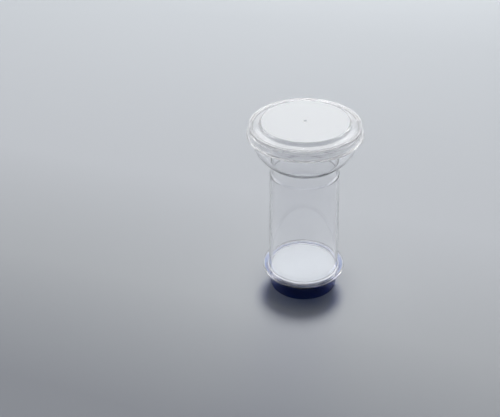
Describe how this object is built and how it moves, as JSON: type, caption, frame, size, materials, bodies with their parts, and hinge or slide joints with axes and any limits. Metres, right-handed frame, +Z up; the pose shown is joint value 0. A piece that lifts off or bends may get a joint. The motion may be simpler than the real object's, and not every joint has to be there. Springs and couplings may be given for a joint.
{
  "type": "vacuum filtration unit",
  "caption": "Disposable vacuum filtration unit: clear wide-mouthed funnel with a push-on lid on a blue base that holds a round white membrane, with a yellow outlet plug underneath.",
  "frame": {"origin": "on the bench, under the unit's axis, in the plane of the skirt's lower edge", "axes": "+Z up along the axis of the unit, from the base to the lid; +X along the plug's grip bar"},
  "size_m": [0.0722, 0.0722, 0.1212],
  "materials": {
    "clear_polystyrene": "clear, moulded and polished",
    "white_membrane": "matt, microporous",
    "white_pad": "matt, fibrous",
    "blue_plastic": "translucent, moulded and glossy",
    "yellow_plastic": "satin, moulded"
  },
  "bodies": {
    "base": {"base": "blue_plastic", "support_pad": "white_pad", "membrane": "white_membrane"},
    "funnel": {"funnel": "clear_polystyrene"},
    "lid": {"lid": "clear_polystyrene"},
    "outlet_plug": {"outlet_plug": "yellow_plastic"}
  },
  "joints": [
    {"name": "funnel_lift", "type": "slide", "parent": "base", "child": "funnel", "axis": [0, 0, 1], "range_m": [0, 0.05]},
    {"name": "lid_lift", "type": "slide", "parent": "funnel", "child": "lid", "axis": [0, 0, 1], "range_m": [0, 0.06]},
    {"name": "plug_pull", "type": "slide", "parent": "base", "child": "outlet_plug", "axis": [0, 0, -1], "range_m": [0, 0.014]}
  ]
}
